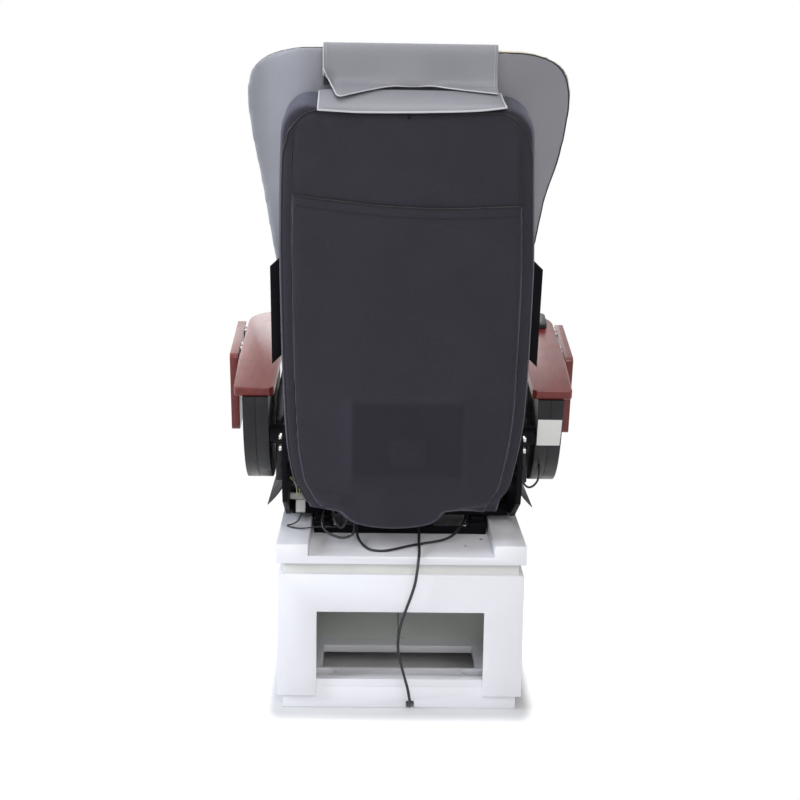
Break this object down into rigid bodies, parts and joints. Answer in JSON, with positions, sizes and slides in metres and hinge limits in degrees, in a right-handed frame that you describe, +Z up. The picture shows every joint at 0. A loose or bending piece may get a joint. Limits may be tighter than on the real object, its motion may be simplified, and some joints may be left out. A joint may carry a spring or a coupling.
{
  "type": "pedicure spa chair",
  "caption": "Pedicure spa unit: reclining massage chair with fold-up arms and side trays, sliding on rails over a cabinet with a round foot basin, mixer, shower and footrest.",
  "frame": {"origin": "bottom centre of the unit's bounding box, on the floor", "axes": "+X to the sitter's left, -Y the way the sitter faces, towards the foot basin, +Z up"},
  "size_m": [0.828, 1.4948, 1.4978],
  "materials": {
    "white_board": "high gloss white lacquer on board",
    "grey_board": "plain white melamine board",
    "white_shell": "glossy white moulded shell",
    "bowl": "clear coated pale acrylic",
    "chrome": "polished chrome",
    "chromed_plastic": "chromed plastic",
    "black_steel": "satin black powder coat",
    "steel": "plain steel",
    "black_plastic": "satin black moulded plastic",
    "grey_plastic": "satin dark grey plastic",
    "white_plastic": "white nylon",
    "lead": "matt black lead sheath",
    "cover": "dark charcoal knit over a moulded backing",
    "cream_leather": "cream upholstery, smooth grain",
    "grey_leather": "mid grey upholstery, smooth grain",
    "mahogany": "gloss red brown stained wood"
  },
  "bodies": {
    "base": {"plinth": "white_board", "floor_board": "white_board", "carcass_boards": "grey_board", "partition_panels": "grey_board", "rear_surround": "white_board", "deck_slab": "white_board", "tub_housing": "white_shell", "foot_bowl": "bowl", "bowl_trim": "chromed_plastic", "jet_housing": "white_plastic", "jet_grille": "chromed_plastic", "drain_body": "chrome", "mixer_body": "chrome", "shower_holder": "chrome", "footrest_bracket": "chrome", "rail_frame": "black_steel", "slide_motor": "grey_plastic", "supply_box": "grey_plastic", "mains_lead": "lead", "lead_coil": "lead", "mains_plug": "lead", "rail_lead": "lead"},
    "jet_wheel": {"jet_impeller": "white_plastic"},
    "stopper": {"drain_stopper": "chrome"},
    "mixer_handle": {"mixer_lever": "chrome"},
    "spout_arm": {"spout": "chrome"},
    "shower": {"hand_shower": "chromed_plastic"},
    "footrest": {"footrest_post": "chrome"},
    "footrest_top": {"footrest_pad": "cream_leather"},
    "air_button": {"jet_button": "chromed_plastic"},
    "seat": {"seat_carriage": "black_steel", "seat_frame": "black_steel", "seat_cushion": "cream_leather", "seat_side_covers": "black_plastic", "seat_skirts": "black_plastic", "seat_leads": "lead", "lead_connector": "white_plastic", "recline_motor": "grey_plastic"},
    "recline_ram": {"recline_rod": "steel"},
    "backrest": {"back_frame": "black_steel", "back_cover": "cover", "control_box": "grey_plastic", "back_cushion": "cream_leather", "back_side_plates": "black_steel", "head_pillow": "cream_leather", "pillow_strap": "grey_leather", "pillow_flap": "grey_leather", "massage_rails": "steel"},
    "massage_unit": {"massage_carriage": "grey_plastic"},
    "massage_wheels": {"massage_rollers": "white_plastic"},
    "arm_left": {"arm_casing_left": "black_plastic", "armrest_left": "mahogany", "tray_hinges_left": "steel"},
    "side_tray_left": {"tray_left": "mahogany"},
    "arm_right": {"arm_casing_right": "black_plastic", "armrest_right": "mahogany", "tray_hinges_right": "steel", "arm_console": "black_plastic"},
    "side_tray_right": {"tray_right": "mahogany"},
    "key": {"console_key": "chromed_plastic"}
  },
  "joints": [
    {"name": "seat_slide", "type": "slide", "parent": "base", "child": "seat", "axis": [0, -1, 0], "range_m": [0, 0.12]},
    {"name": "back_recline", "type": "hinge", "parent": "seat", "child": "backrest", "pos_m": [0, 0.44264, 0.56], "axis": [-1, 0, 0], "range_deg": [0, 30]},
    {"name": "recline_stroke", "type": "slide", "parent": "seat", "child": "recline_ram", "axis": [0, -1, 0], "range_m": [0, 0.05]},
    {"name": "massage_travel", "type": "slide", "parent": "backrest", "child": "massage_unit", "axis": [0, 0.2588, 0.9659], "range_m": [-0.17, 0.25]},
    {"name": "roller_spin", "type": "hinge", "parent": "massage_unit", "child": "massage_wheels", "pos_m": [0, 0.55848, 1.01554], "axis": [1, 0, 0], "continuous": true},
    {"name": "arm_lift_left", "type": "hinge", "parent": "seat", "child": "arm_left", "pos_m": [0.315, 0.40264, 0.627], "axis": [-1, 0, 0], "range_deg": [0, 60]},
    {"name": "tray_fold_left", "type": "hinge", "parent": "arm_left", "child": "side_tray_left", "pos_m": [0.39, 0.02826, 0.81434], "axis": [0, -0.9744, 0.225], "range_deg": [0, 90]},
    {"name": "arm_lift_right", "type": "hinge", "parent": "seat", "child": "arm_right", "pos_m": [-0.315, 0.40264, 0.627], "axis": [-1, 0, 0], "range_deg": [0, 60]},
    {"name": "tray_fold_right", "type": "hinge", "parent": "arm_right", "child": "side_tray_right", "pos_m": [-0.39, 0.02826, 0.81434], "axis": [0, 0.9744, -0.225], "range_deg": [0, 90]},
    {"name": "console_key_press", "type": "slide", "parent": "arm_right", "child": "key", "axis": [0, -0.225, -0.9744], "range_m": [0, 0.002], "stiffness_N_per_m": 400},
    {"name": "mixer_turn", "type": "hinge", "parent": "base", "child": "mixer_handle", "pos_m": [-0.226, -0.30736, 0.384], "axis": [0, 0, 1], "range_deg": [-35, 35]},
    {"name": "spout_swing", "type": "hinge", "parent": "base", "child": "spout_arm", "pos_m": [-0.178, -0.26737, 0.384], "axis": [0, 0, 1], "range_deg": [-30, 30]},
    {"name": "shower_lift", "type": "slide", "parent": "base", "child": "shower", "axis": [0, 0, 1], "range_m": [0, 0.045]},
    {"name": "stopper_lift", "type": "slide", "parent": "base", "child": "stopper", "axis": [0, 0, 1], "range_m": [0, 0.009]},
    {"name": "impeller_spin", "type": "hinge", "parent": "base", "child": "jet_wheel", "pos_m": [0, -0.26038, 0.323], "axis": [0, -0.9909, 0.1346], "continuous": true},
    {"name": "footrest_height", "type": "slide", "parent": "base", "child": "footrest", "axis": [0, 0, 1], "range_m": [0, 0.04]},
    {"name": "footrest_tilt", "type": "hinge", "parent": "footrest", "child": "footrest_top", "pos_m": [0, -0.71337, 0.48], "axis": [1, 0, 0], "range_deg": [-20, 20]},
    {"name": "air_button_press", "type": "slide", "parent": "base", "child": "air_button", "axis": [0, 0, -1], "range_m": [0, 0.0015], "stiffness_N_per_m": 500}
  ],
  "couplings": [
    {"joint": "recline_stroke", "follows": "back_recline", "m_per_rad": 0.0939}
  ]
}
